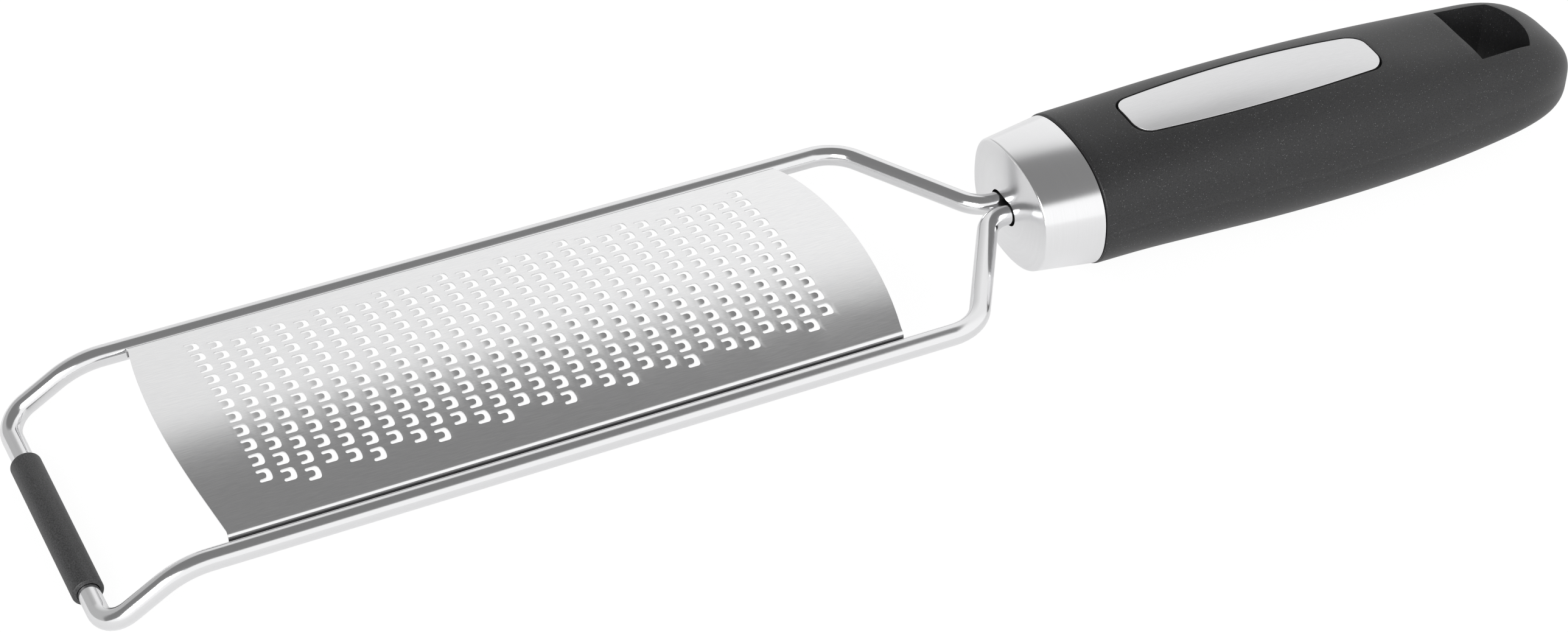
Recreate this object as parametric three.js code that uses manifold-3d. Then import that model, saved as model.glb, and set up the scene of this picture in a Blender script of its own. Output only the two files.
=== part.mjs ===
// Hand grater: an arched punched blade in a bent wire frame, with a rubber foot and an oval grip.
// Millimetres, +X from the front bar to the grip end, +Z up, y = 0 is the plane of symmetry.
import * as THREE from 'three';
import { mergeVertices } from 'three/addons/utils/BufferGeometryUtils.js';
import Module from 'manifold-3d';

const wasm = await Module();
wasm.setup();

// Clearances
const weldGap = 0.06;
const pressGap = 0.1;
const restGap = 0.3;

// Wire frame
const wireRadius = 2.0;
const sideRunY = 29.7;
const tailSpace = 0.3;
const frontBarX = -23.2;
const frontBarZ = -8.85;
const frontSlopeX = -8.9;
const shoulderX = 143.7;
const neckLead = 5.2;
const tailLength = 41.3;
const frontCornerRadius = 5.1;
const slopeBendRadius = 16.7;
const shoulderRadius = 9.4;
const neckRadius = 6.3;
const wireSides = 12;
const bendSteps = 5;

// Rubber foot on the front bar
const footLength = 36.5;
const footMidY = -1.3;
const footRadius = 2.88;
const footSides = 20;

// Punched blade
const sheet = 0.4;
const archRadius = 122.1;
const archTopZ = 5.7;
const bladeLength = 129.3;
const endBow = 2.8;
const edgeBend = 0.6;
const flangeDrop = 1.9;
const columnPitch = 4.0;
const rowPitch = 3.877;
const columns = 28;
const rows = 11;
const rowsPerShift = 3;
const toothLead = 0.49;
const slotLength = 2.4;
const slotWidth = 2.8;
const slotArm = 0.62;
const slotBase = 0.94;
const toothLift = 0.28;

// Handle
const handleSquareness = 2.35;
const handleMidZ = 0.3;
const seam = 0.15;

// Steel ferrule
const ferruleFrontX = 165.9;
const ferruleLength = 12.4;
const ferruleFrontHalfY = 14.3;
const ferruleFrontHalfZ = 11.5;
const ferruleRearHalfY = 16.35;
const ferruleRearHalfZ = 12.6;
const ferruleWall = 0.9;
const ferruleEdge = 0.5;
const slotMargin = 0.45;
const ferruleSides = 40;

// Inner core
const coreLength = 57.0;
const coreHalfY = 11.0;
const coreHalfZ = 8.5;
const coreSides = 32;

// Grip
const gripRim = 0.15;
const gripLength = 114.0;
const gripHalfWidth = 17.1;
const gripHalfHeight = 14.4;
const gripRound = 0.5;
const gripSides = 40;

// Hang hole
const holeInset = 25.2;
const holeSide = 12.0;
const holeLength = 14.6;
const holeHalfY = 8.75;
const holeRearHalfY = 7.9;

// Inlay plate
const plateInset = 12.5;
const plateLength = 55.5;
const plateHalfY = 6.9;
const plateEndHalfY = 5.3;
const plateCorner = 3.2;
const plateFloorZ = 11.2;
const plateProud = 0.22;

// Places that follow from those sizes
const tailY = wireRadius + tailSpace / 2;
const neckX = ferruleFrontX - neckLead;
const tailEndX = neckX + tailLength;
const slotHalfHeight = wireRadius + slotMargin;
const slotHalfSpan = tailY + wireRadius + slotMargin;
const gripFrontX = ferruleFrontX + ferruleLength + seam;
const gripEndX = gripFrontX + gripLength;
const holeFrontX = gripEndX - holeInset;
const plateFrontX = gripFrontX + plateInset;
const plateRearX = plateFrontX + plateLength;
const clearOfGrip = 2 * gripHalfHeight;

// Grip sections: share of the length, then half width, half height and middle height as shares of the fullest
const gripShares = [
  { at: 0.1, wide: 0.974, high: 0.917, rise: 0.031 },
  { at: 0.22, wide: 0.991, high: 0.958, rise: 0.021 },
  { at: 0.36, wide: 0.997, high: 1.0, rise: -0.007 },
  { at: 0.5, wide: 1.0, high: 0.993, rise: -0.031 },
  { at: 0.62, wide: 0.991, high: 0.948, rise: -0.045 },
  { at: 0.72, wide: 0.959, high: 0.903, rise: -0.052 },
  { at: 0.8, wide: 0.915, high: 0.861, rise: -0.045 },
  { at: 0.87, wide: 0.863, high: 0.809, rise: -0.031 },
  { at: 0.92, wide: 0.778, high: 0.729, rise: -0.045 },
  { at: 0.955, wide: 0.655, high: 0.618, rise: -0.083 },
  { at: 0.98, wide: 0.491, high: 0.458, rise: -0.132 },
  { at: 0.994, wide: 0.292, high: 0.264, rise: -0.174 },
];
const gripSections = [
  { x: gripFrontX, halfY: ferruleRearHalfY + gripRim, halfZ: ferruleRearHalfZ + gripRim, midZ: handleMidZ },
  ...gripShares.map((s) => ({
    x: gripFrontX + s.at * gripLength,
    halfY: s.wide * gripHalfWidth,
    halfZ: s.high * gripHalfHeight,
    midZ: s.rise * gripHalfHeight,
  })),
];

// Colours read from the photograph
const steel = () => new THREE.MeshStandardMaterial({ color: 0xc9cacb, metalness: 1.0, roughness: 0.25 });
const sheetSteel = () => new THREE.MeshStandardMaterial({ color: 0xcfd0d1, metalness: 1.0, roughness: 0.35 });
const satinSteel = () => new THREE.MeshStandardMaterial({ color: 0xd2d3d4, metalness: 1.0, roughness: 0.38 });
const blackRubber = () => new THREE.MeshStandardMaterial({ color: 0x2b2b2b, metalness: 0.0, roughness: 0.75 });
const charcoal = () => new THREE.MeshStandardMaterial({ color: 0x434343, metalness: 0.0, roughness: 0.7 });
const corePlastic = () => new THREE.MeshStandardMaterial({ color: 0x1f1f1f, metalness: 0.0, roughness: 0.6 });

function soup(triangles) {
  const geometry = new THREE.BufferGeometry();
  const values = [];
  for (const t of triangles) for (const p of t) values.push(p.x, p.y, p.z);
  geometry.setAttribute('position', new THREE.Float32BufferAttribute(values, 3));
  return geometry;
}

function solidOf(geometry) {
  const bare = geometry.clone();
  bare.deleteAttribute('normal');
  bare.deleteAttribute('uv');
  const merged = mergeVertices(bare, 1e-4);
  return new wasm.Manifold(new wasm.Mesh({
    numProp: 3,
    vertProperties: new Float32Array(merged.attributes.position.array),
    triVerts: new Uint32Array(merged.index.array),
  }));
}

function geometryOf(solid) {
  const mesh = solid.getMesh();
  const geometry = new THREE.BufferGeometry();
  const count = mesh.vertProperties.length / mesh.numProp;
  const values = new Float32Array(count * 3);
  for (let i = 0; i < count; i += 1) {
    for (let k = 0; k < 3; k += 1) values[3 * i + k] = mesh.vertProperties[i * mesh.numProp + k];
  }
  geometry.setAttribute('position', new THREE.BufferAttribute(values, 3));
  geometry.setIndex(new THREE.BufferAttribute(new Uint32Array(mesh.triVerts), 1));
  return geometry;
}

function piece(name, geometry, material) {
  const bare = geometry.clone();
  bare.deleteAttribute('normal');
  bare.deleteAttribute('uv');
  const merged = mergeVertices(bare, 1e-4);
  const mesh = new THREE.Mesh(merged, material);
  mesh.name = name;
  return mesh;
}

// A skin through rings of equal count, closed at each end by a fan, or joined end to start
function loft(rings, joined) {
  const triangles = [];
  const count = rings[0].length;
  const last = joined ? rings.length : rings.length - 1;
  for (let k = 0; k < last; k += 1) {
    const a = rings[k];
    const b = rings[(k + 1) % rings.length];
    for (let i = 0; i < count; i += 1) {
      const j = (i + 1) % count;
      triangles.push([a[i], a[j], b[j]], [a[i], b[j], b[i]]);
    }
  }
  if (!joined) {
    const cap = (ring, turn) => {
      const middle = new THREE.Vector3();
      for (const p of ring) middle.addScaledVector(p, 1 / count);
      for (let i = 0; i < count; i += 1) {
        const j = (i + 1) % count;
        triangles.push(turn ? [middle, ring[j], ring[i]] : [middle, ring[i], ring[j]]);
      }
    };
    cap(rings[0], true);
    cap(rings[rings.length - 1], false);
  }
  return soup(triangles);
}

// An oval ring in the plane x, counted so that a loft toward +X faces outward
function ovalRing(x, halfY, halfZ, midZ, power, count) {
  const ring = [];
  for (let i = 0; i < count; i += 1) {
    const turn = (2 * Math.PI * i) / count;
    const c = Math.cos(turn);
    const s = Math.sin(turn);
    const y = halfY * Math.sign(c) * Math.abs(c) ** (2 / power);
    const z = halfZ * Math.sign(s) * Math.abs(s) ** (2 / power);
    ring.push(new THREE.Vector3(x, y, midZ + z));
  }
  return ring;
}

// A slot with round ends across the tool, counted in step with an oval ring
function slotRing(x, halfSpan, halfHeight, count) {
  const ring = [];
  const straight = halfSpan - halfHeight;
  for (let i = 0; i < count; i += 1) {
    const turn = (2 * Math.PI * i) / count;
    const c = Math.cos(turn);
    const s = Math.sin(turn);
    const end = Math.abs(c) < 1e-9 ? 0 : Math.sign(c);
    ring.push(new THREE.Vector3(x, straight * end + halfHeight * c, halfHeight * s));
  }
  return ring;
}

// Bent wire
function roundedPath(corners, radii) {
  const path = [corners[0].clone()];
  for (let i = 1; i < corners.length - 1; i += 1) {
    const here = corners[i];
    const back = corners[i - 1].clone().sub(here).normalize();
    const ahead = corners[i + 1].clone().sub(here).normalize();
    const half = Math.acos(THREE.MathUtils.clamp(back.dot(ahead), -1, 1)) / 2;
    const reach = radii[i] / Math.tan(half);
    const inward = back.clone().add(ahead).normalize();
    const centre = here.clone().addScaledVector(inward, radii[i] / Math.sin(half));
    const first = here.clone().addScaledVector(back, reach).sub(centre);
    const final = here.clone().addScaledVector(ahead, reach).sub(centre);
    const turn = first.angleTo(final);
    const axis = first.clone().cross(final).normalize();
    for (let k = 0; k <= bendSteps; k += 1) {
      path.push(first.clone().applyAxisAngle(axis, (turn * k) / bendSteps).add(centre));
    }
  }
  path.push(corners[corners.length - 1].clone());
  return path;
}

function tube(path, radius, sides) {
  const rings = [];
  let normal = new THREE.Vector3(0, 0, 1);
  for (let i = 0; i < path.length; i += 1) {
    const into = path[Math.max(i, 1)].clone().sub(path[Math.max(i, 1) - 1]).normalize();
    const next = Math.min(i, path.length - 2);
    const out = path[next + 1].clone().sub(path[next]).normalize();
    const along = into.clone().add(out).normalize();
    normal = normal.clone().addScaledVector(along, -normal.dot(along)).normalize();
    const side = along.clone().cross(normal);
    const ring = [];
    for (let k = 0; k < sides; k += 1) {
      const turn = (2 * Math.PI * k) / sides;
      ring.push(path[i].clone()
        .addScaledVector(normal, radius * Math.cos(turn))
        .addScaledVector(side, radius * Math.sin(turn)));
    }
    rings.push(ring);
  }
  return loft(rings, false);
}

function wireFrame() {
  const half = [
    [new THREE.Vector3(tailEndX, tailY, 0), 0],
    [new THREE.Vector3(neckX, tailY, 0), neckRadius],
    [new THREE.Vector3(shoulderX, sideRunY, 0), shoulderRadius],
    [new THREE.Vector3(frontSlopeX, sideRunY, 0), slopeBendRadius],
    [new THREE.Vector3(frontBarX, sideRunY, frontBarZ), frontCornerRadius],
  ];
  const mirrored = half.slice().reverse().map(([p, r]) => [new THREE.Vector3(p.x, -p.y, p.z), r]);
  const all = half.concat(mirrored);
  return tube(roundedPath(all.map((e) => e[0]), all.map((e) => e[1])), wireRadius, wireSides);
}

// Rubber foot
function footSleeve() {
  const ring = (y, radius) => {
    const points = [];
    for (let i = 0; i < footSides; i += 1) {
      const turn = (2 * Math.PI * i) / footSides;
      points.push(new THREE.Vector3(
        frontBarX + radius * Math.sin(turn), y, frontBarZ + radius * Math.cos(turn)));
    }
    return points;
  };
  const bore = (wireRadius + pressGap) / Math.cos(Math.PI / footSides);
  const nearY = footMidY - footLength / 2;
  const farY = footMidY + footLength / 2;
  return loft([
    ring(nearY, footRadius), ring(farY, footRadius), ring(farY, bore), ring(nearY, bore),
  ], true);
}

// Punched blade: a flat pattern of (x along, s across) carried onto the arch, its bends and its flanges
const topRadius = archRadius;
const underRadius = archRadius - sheet;
const archMidZ = archTopZ - topRadius;
const flangeOuterY = sideRunY - wireRadius - weldGap;
const archTurn = Math.asin((flangeOuterY - edgeBend - sheet) / (underRadius - edgeBend));
const archSpan = topRadius * archTurn;
const bendSpan = (Math.PI / 2 - archTurn) * edgeBend;

function onBlade(x, s, lift) {
  const side = Math.sign(s);
  const reach = Math.abs(s);
  if (reach <= archSpan + 1e-9) {
    const turn = s / topRadius;
    const radius = underRadius + lift;
    return new THREE.Vector3(x, radius * Math.sin(turn), archMidZ + radius * Math.cos(turn));
  }
  const bendY = (underRadius - edgeBend) * Math.sin(archTurn);
  const bendZ = archMidZ + (underRadius - edgeBend) * Math.cos(archTurn);
  const turn = Math.min(Math.PI / 2, archTurn + (reach - archSpan) / edgeBend);
  const drop = Math.max(0, reach - archSpan - bendSpan);
  const radius = edgeBend + lift;
  const y = side * (bendY + radius * Math.sin(turn));
  return new THREE.Vector3(x, y, bendZ + radius * Math.cos(turn) - drop);
}

function gratingBlade() {
  const firstColumn = (bladeLength - (columns - 1) * columnPitch) / 2 - toothLead;
  const topRow = ((rows - 1 + (rowsPerShift - 1) / rowsPerShift) / 2) * rowPitch;
  const toothS = (i, j) => topRow - (j + (i % rowsPerShift) / rowsPerShift) * rowPitch;
  const lean = rowPitch / rowsPerShift / 2;
  const lineX = (i) => firstColumn + (i - 0.5) * columnPitch;
  const latticeOf = (i, right) => {
    const list = [];
    for (let j = 0; j <= rows; j += 1) list.push(toothS(i, j) + rowPitch / 2 + (right ? -lean : lean));
    return list;
  };
  const lines = [];
  for (let i = 0; i <= columns; i += 1) {
    const values = [];
    if (i > 0) values.push(...latticeOf(i - 1, true));
    if (i < columns) values.push(...latticeOf(i, false));
    values.sort((a, b) => b - a);
    lines.push(values.filter((v, k) => k === 0 || values[k - 1] - v > 1e-6));
  }
  const outline = [];
  const endX = (s, front) => {
    const bow = endBow * (1 - (s / archSpan) ** 2);
    return front ? -bow : bladeLength + bow;
  };
  const flat = [];
  const walls = [];
  const addShape = (contour, holes) => {
    const all = contour.concat(...holes);
    const ring = contour.map((p) => new THREE.Vector2(p[0], p[1]));
    const inner = holes.map((h) => h.map((p) => new THREE.Vector2(p[0], p[1])));
    for (const t of THREE.ShapeUtils.triangulateShape(ring, inner)) flat.push(t.map((k) => all[k]));
  };
  const between = (list, high, low) => list.filter((s) => s < high - 1e-6 && s > low + 1e-6);
  for (let i = 0; i < columns; i += 1) {
    const left = latticeOf(i, false);
    const right = latticeOf(i, true);
    const xl = lineX(i);
    const xr = lineX(i + 1);
    for (let j = 0; j < rows; j += 1) {
      const s = toothS(i, j);
      const x = firstColumn + i * columnPitch;
      const front = x - slotLength / 2;
      const rear = x + slotLength / 2;
      const tip = rear - slotBase;
      const w = slotWidth / 2;
      const [arm, inner] = [w - slotArm / 2, w - slotArm];
      const hole = [[front, s + arm, 0], [tip, s + inner, toothLift], [tip, s - inner, toothLift],
        [front, s - arm, 0], [rear, s - w, 0], [rear, s + w, 0]];
      addShape([[xl, left[j]], [xl, left[j + 1]], [xr, right[j + 1]], [xr, right[j]]], [hole]);
      walls.push(hole);
    }
    const aboveL = between(lines[i], archSpan, left[0]);
    const aboveR = between(lines[i + 1], archSpan, right[0]);
    addShape([[xl, archSpan], ...aboveL.map((s) => [xl, s]), [xl, left[0]],
      [xr, right[0]], ...aboveR.slice().reverse().map((s) => [xr, s]), [xr, archSpan]], []);
    const belowL = between(lines[i], left[rows], -archSpan);
    const belowR = between(lines[i + 1], right[rows], -archSpan);
    addShape([[xl, left[rows]], ...belowL.map((s) => [xl, s]), [xl, -archSpan],
      [xr, -archSpan], ...belowR.slice().reverse().map((s) => [xr, s]), [xr, right[rows]]], []);
  }
  const frontList = [archSpan, ...lines[0], -archSpan];
  const rearList = [archSpan, ...lines[columns], -archSpan];
  for (let k = 0; k + 1 < frontList.length; k += 1) {
    const [a, b] = [frontList[k], frontList[k + 1]];
    flat.push([[endX(a, true), a], [endX(b, true), b], [lineX(0), b]]);
    flat.push([[endX(a, true), a], [lineX(0), b], [lineX(0), a]]);
  }
  for (let k = 0; k + 1 < rearList.length; k += 1) {
    const [a, b] = [rearList[k], rearList[k + 1]];
    flat.push([[lineX(columns), a], [lineX(columns), b], [endX(b, false), b]]);
    flat.push([[lineX(columns), a], [endX(b, false), b], [endX(a, false), a]]);
  }
  const strip = [archSpan, archSpan + bendSpan / 2, archSpan + bendSpan, archSpan + bendSpan + flangeDrop];
  const alongX = [0];
  for (let i = 0; i <= columns; i += 1) alongX.push(lineX(i));
  alongX.push(bladeLength);
  for (let k = 0; k + 1 < strip.length; k += 1) {
    for (let i = 0; i + 1 < alongX.length; i += 1) {
      const [a, b, c, d] = [alongX[i], alongX[i + 1], strip[k], strip[k + 1]];
      flat.push([[a, d], [a, c], [b, c]], [[a, d], [b, c], [b, d]]);
      flat.push([[a, -c], [a, -d], [b, -d]], [[a, -c], [b, -d], [b, -c]]);
    }
  }
  for (const s of strip.slice(1).reverse()) outline.push([0, s]);
  for (const s of frontList) outline.push([endX(s, true), s]);
  for (const s of strip.slice(1)) outline.push([0, -s]);
  for (const x of alongX.slice(1)) outline.push([x, -strip[strip.length - 1]]);
  for (const s of strip.slice(1, -1).reverse()) outline.push([bladeLength, -s]);
  for (const s of rearList.slice().reverse()) outline.push([endX(s, false), s]);
  for (const s of strip.slice(1)) outline.push([bladeLength, s]);
  for (const x of alongX.slice(1, -1).reverse()) outline.push([x, strip[strip.length - 1]]);
  const triangles = [];
  const skin = (p, lift) => onBlade(p[0], p[1], lift + (p[2] || 0));
  const turned = (t) => {
    const [a, b, c] = t;
    return (b[0] - a[0]) * (c[1] - a[1]) - (b[1] - a[1]) * (c[0] - a[0]) < 0;
  };
  for (const t of flat) {
    const [a, b, c] = turned(t) ? [t[0], t[2], t[1]] : t;
    triangles.push([a, b, c].map((p) => skin(p, sheet)));
    triangles.push([a, c, b].map((p) => skin(p, 0)));
  }
  const addWall = (ring, flip) => {
    for (let i = 0; i < ring.length; i += 1) {
      const p = ring[i];
      const q = ring[(i + 1) % ring.length];
      const [a, b] = flip ? [q, p] : [p, q];
      const [low, high] = [skin(a, 0), skin(a, sheet)];
      const [lowB, highB] = [skin(b, 0), skin(b, sheet)];
      triangles.push([high, low, lowB], [high, lowB, highB]);
    }
  };
  const area = (ring) => ring.reduce((sum, p, i) => {
    const q = ring[(i + 1) % ring.length];
    return sum + p[0] * q[1] - q[0] * p[1];
  }, 0);
  addWall(outline, area(outline) < 0);
  for (const hole of walls) addWall(hole, area(hole) > 0);
  return soup(triangles);
}

// Steel ferrule: a cup whose flat front has the slot for the two wire tails
function ferruleHalf(x, key) {
  const share = (x - ferruleFrontX) / ferruleLength;
  const [front, rear] = key === 'y'
    ? [ferruleFrontHalfY, ferruleRearHalfY] : [ferruleFrontHalfZ, ferruleRearHalfZ];
  return THREE.MathUtils.lerp(front, rear, share);
}

function ferrule() {
  const rearX = ferruleFrontX + ferruleLength;
  const innerX = ferruleFrontX + ferruleWall;
  const oval = (x, inset) => ovalRing(
    x, ferruleHalf(x, 'y') - inset, ferruleHalf(x, 'z') - inset, handleMidZ, handleSquareness, ferruleSides);
  const soft = ferruleEdge * (1 - Math.SQRT1_2);
  return loft([
    slotRing(ferruleFrontX, slotHalfSpan, slotHalfHeight, ferruleSides),
    oval(ferruleFrontX, ferruleEdge),
    oval(ferruleFrontX + soft, soft),
    oval(ferruleFrontX + ferruleEdge, 0),
    oval(rearX, 0),
    oval(rearX, ferruleWall),
    oval(innerX, ferruleWall),
    slotRing(innerX, slotHalfSpan, slotHalfHeight, ferruleSides),
  ], true);
}

// Inner core: holds the wire tails, fills the ferrule and is the spigot of the grip
function coreShape(grow) {
  const startX = ferruleFrontX + ferruleWall + restGap - grow;
  const endX = ferruleFrontX + coreLength + grow;
  return { startX, endX, halfY: coreHalfY + grow, halfZ: coreHalfZ + grow };
}

function handleCore() {
  const c = coreShape(0);
  const bore = pressGap;
  return loft([
    slotRing(tailEndX + restGap, tailY + wireRadius + bore, wireRadius + bore, coreSides),
    slotRing(c.startX, tailY + wireRadius + bore, wireRadius + bore, coreSides),
    ovalRing(c.startX, c.halfY, c.halfZ, 0, 2, coreSides),
    ovalRing(c.endX, c.halfY, c.halfZ, 0, 2, coreSides),
  ], false);
}

// Grip
function gripOuter(grow) {
  const rings = gripSections.map((s) => ovalRing(
    s.x, s.halfY + grow, s.halfZ + grow, s.midZ, handleSquareness, gripSides));
  const last = gripSections[gripSections.length - 1];
  rings.push(ovalRing(
    gripEndX, last.halfY * gripRound, last.halfZ * gripRound, last.midZ, handleSquareness, gripSides));
  return loft(rings, false);
}

function prism(outline, lowZ, highZ) {
  const low = outline.map((p) => new THREE.Vector3(p.x, p.y, lowZ));
  const high = outline.map((p) => new THREE.Vector3(p.x, p.y, highZ));
  return loft([low, high], false);
}

function plateOutline(grow) {
  const shape = new THREE.Shape();
  const front = plateFrontX - grow;
  const rear = plateRearX + grow;
  const middle = (front + rear) / 2;
  const end = plateEndHalfY + grow - plateCorner;
  const reach = 2 * (plateHalfY + grow) - (plateEndHalfY + grow);
  shape.moveTo(front, -end);
  shape.quadraticCurveTo(front, -end - plateCorner, front + plateCorner, -end - plateCorner);
  shape.quadraticCurveTo(middle, -reach, rear - plateCorner, -end - plateCorner);
  shape.quadraticCurveTo(rear, -end - plateCorner, rear, -end);
  shape.lineTo(rear, end);
  shape.quadraticCurveTo(rear, end + plateCorner, rear - plateCorner, end + plateCorner);
  shape.quadraticCurveTo(middle, reach, front + plateCorner, end + plateCorner);
  shape.quadraticCurveTo(front, end + plateCorner, front, end);
  const points = shape.getPoints(6);
  return points.filter((p, i) => i === 0 || p.distanceTo(points[i - 1]) > 1e-3);
}

function holeOutline() {
  const shape = new THREE.Shape();
  const sideX = holeFrontX + holeSide;
  const bow = 2 * (holeLength - holeSide);
  shape.moveTo(holeFrontX, -holeHalfY);
  shape.lineTo(sideX, -holeRearHalfY);
  shape.quadraticCurveTo(sideX + bow, 0, sideX, holeRearHalfY);
  shape.lineTo(holeFrontX, holeHalfY);
  return shape.getPoints(6);
}

function grip() {
  const c = coreShape(restGap);
  const pocket = loft([
    ovalRing(gripFrontX - ferruleWall, c.halfY, c.halfZ, 0, 2, coreSides),
    ovalRing(c.endX, c.halfY, c.halfZ, 0, 2, coreSides),
  ], false);
  const hole = prism(holeOutline(), -clearOfGrip, clearOfGrip);
  const recess = prism(plateOutline(restGap), plateFloorZ, clearOfGrip);
  const bored = solidOf(gripOuter(0)).subtract(solidOf(pocket)).subtract(solidOf(hole));
  return geometryOf(bored.subtract(solidOf(recess)));
}

// Inlay plate: its top follows the grip and stands a little proud of it
function inlayPlate() {
  const blank = prism(plateOutline(0), plateFloorZ + pressGap, clearOfGrip);
  return geometryOf(solidOf(blank).intersect(solidOf(gripOuter(plateProud))));
}

const grater = new THREE.Group();
grater.name = 'grater';
grater.add(
  piece('wire_frame', wireFrame(), steel()),
  piece('grating_blade', gratingBlade(), sheetSteel()),
  piece('foot_sleeve', footSleeve(), blackRubber()),
  piece('ferrule', ferrule(), satinSteel()),
  piece('handle_core', handleCore(), corePlastic()),
  piece('grip', grip(), charcoal()),
  piece('inlay_plate', inlayPlate(), satinSteel()),
);

// The tool lies on its rubber foot and on the belly of the grip, with the origin under its middle
const bottomOf = (s) => s.midZ - s.halfZ;
const belly = gripSections.reduce((low, s) => (bottomOf(s) < bottomOf(low) ? s : low));
const footBottomZ = frontBarZ - footRadius;
const tilt = Math.atan2(bottomOf(belly) - footBottomZ, belly.x - frontBarX);
for (const mesh of grater.children) mesh.geometry.rotateY(tilt);
const box = new THREE.Box3().setFromObject(grater);
for (const mesh of grater.children) {
  mesh.geometry.translate(-(box.min.x + box.max.x) / 2, 0, -box.min.z);
  mesh.geometry.computeVertexNormals();
}

export default grater;
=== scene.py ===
import bpy
import bmesh
import math
from mathutils import Matrix, Vector


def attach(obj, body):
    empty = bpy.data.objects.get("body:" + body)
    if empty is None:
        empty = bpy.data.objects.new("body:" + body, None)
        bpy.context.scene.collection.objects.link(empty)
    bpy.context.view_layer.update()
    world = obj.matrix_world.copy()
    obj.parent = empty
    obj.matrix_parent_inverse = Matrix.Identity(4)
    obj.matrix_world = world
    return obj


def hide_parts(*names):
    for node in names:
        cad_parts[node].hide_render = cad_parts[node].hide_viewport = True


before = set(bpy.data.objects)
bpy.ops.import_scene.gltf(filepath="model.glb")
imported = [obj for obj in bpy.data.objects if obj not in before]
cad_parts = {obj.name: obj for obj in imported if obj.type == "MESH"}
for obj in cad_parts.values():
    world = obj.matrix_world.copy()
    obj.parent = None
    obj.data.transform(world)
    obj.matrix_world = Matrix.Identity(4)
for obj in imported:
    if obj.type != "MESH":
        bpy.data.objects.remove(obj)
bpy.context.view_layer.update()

bpy.context.scene.view_settings.view_transform = "Standard"


# Wire frame
# One length of 4 mm stainless wire, bent cold on a former: two side runs, a dropped front bar
# and two tails that go side by side into the handle. It is polished and left bare.
MM = 0.001
TABLE_TILT = -0.0116585
TOOL_SHIFT = Vector((-133.2532, 0.0, 11.9997))
WIRE_RADIUS = 2.0
WIRE_SIDES = 32
BEND_STEPS = 12
MERGE_GAP = 1e-6
SIDE_RUN_Y = 29.7
TAIL_Y = 2.15
FRONT_BAR_X = -23.2
FRONT_BAR_Z = -8.85
WIRE_CORNERS = [
    ((202.0, TAIL_Y, 0.0), 0.0),
    ((160.7, TAIL_Y, 0.0), 6.3),
    ((143.7, SIDE_RUN_Y, 0.0), 9.4),
    ((-8.9, SIDE_RUN_Y, 0.0), 16.7),
    ((FRONT_BAR_X, SIDE_RUN_Y, FRONT_BAR_Z), 5.1),
]

# The tool is drawn flat, from the blade's front edge, and then laid on its foot and on the belly of its grip
lay_down = Matrix.Translation(TOOL_SHIFT * MM) @ Matrix.Rotation(TABLE_TILT, 4, "Y")


def place(x, y, z):
    """A point of the tool's drawing, in millimetres from the middle of the blade's front edge."""
    return Vector((x * MM, y * MM, z * MM))


def start_piece(name):
    """The primitive that was just added becomes a piece of its own, opened for edge and face work."""
    obj = bpy.context.object
    obj.name = name
    obj.data.name = name
    bpy.ops.object.transform_apply(location=True, rotation=True, scale=True)
    bpy.ops.object.mode_set(mode="EDIT")
    bpy.ops.mesh.select_all(action="SELECT")
    return obj


def clear_selection():
    bpy.ops.object.select_all(action="DESELECT")


def select_where(obj, kind, test):
    """Selects the vertices, edges or faces whose place passes the test, in edit mode."""
    bpy.ops.mesh.select_all(action="DESELECT")
    bpy.ops.mesh.select_mode(type={"verts": "VERT", "edges": "EDGE", "faces": "FACE"}[kind])
    work = bmesh.from_edit_mesh(obj.data)
    for part in getattr(work, kind):
        part.select_set(test(part))
    work.select_flush_mode()
    bmesh.update_edit_mesh(obj.data)


def shade_and_lay_down(obj, smooth_angle):
    """Shades the soft edges as round and lays the piece on the table with the rest of the tool."""
    clear_selection()
    obj.select_set(True)
    bpy.context.view_layer.objects.active = obj
    bpy.ops.object.shade_smooth_by_angle(angle=math.radians(smooth_angle))
    obj.data.transform(lay_down)


def turn_outward():
    """Leaves edit mode with all faces turned outward."""
    bpy.ops.mesh.select_all(action="SELECT")
    bpy.ops.mesh.normals_make_consistent(inside=False)
    bpy.ops.object.mode_set(mode="OBJECT")


def close_piece(obj, smooth_angle):
    turn_outward()
    shade_and_lay_down(obj, smooth_angle)


def apply_modifier(obj, kind, **settings):
    bpy.context.view_layer.objects.active = obj
    modifier = obj.modifiers.new(kind.title(), kind)
    for key, value in settings.items():
        setattr(modifier, key, value)
    bpy.ops.object.modifier_apply(modifier=modifier.name)


def linear(hex_colour):
    """An sRGB hex colour as linear red, green, blue and alpha."""
    channels = [int(hex_colour[i:i + 2], 16) / 255 for i in (1, 3, 5)]
    return [c / 12.92 if c <= 0.04045 else ((c + 0.055) / 1.055) ** 2.4 for c in channels] + [1.0]


def add_node(tree, kind, settings=None, inputs=None, links=None, stops=()):
    """One node with its settings, fixed inputs, links from (node, output) pairs and colour stops."""
    node = tree.nodes.new(kind)
    for key, value in (settings or {}).items():
        setattr(node, key, value)
    for key, value in (inputs or {}).items():
        node.inputs[key].default_value = value
    for key, (source, output) in (links or {}).items():
        tree.links.new(source.outputs[output], node.inputs[key])
    for i, (position, hex_colour) in enumerate(stops):
        node.color_ramp.elements[i].position = position
        node.color_ramp.elements[i].color = linear(hex_colour)
    return node


def new_material(name):
    material = bpy.data.materials.new(name)
    material.use_nodes = True
    tree = material.node_tree
    shader = tree.nodes["Principled BSDF"]
    coords = add_node(tree, "ShaderNodeTexCoord")
    return material, tree, shader, coords


def dress(obj, material):
    obj.data.materials.clear()
    obj.data.materials.append(material)


wire_route = WIRE_CORNERS + [((x, -y, z), radius) for (x, y, z), radius in reversed(WIRE_CORNERS)]
route_points = [place(*point) for point, radius in wire_route]

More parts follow.
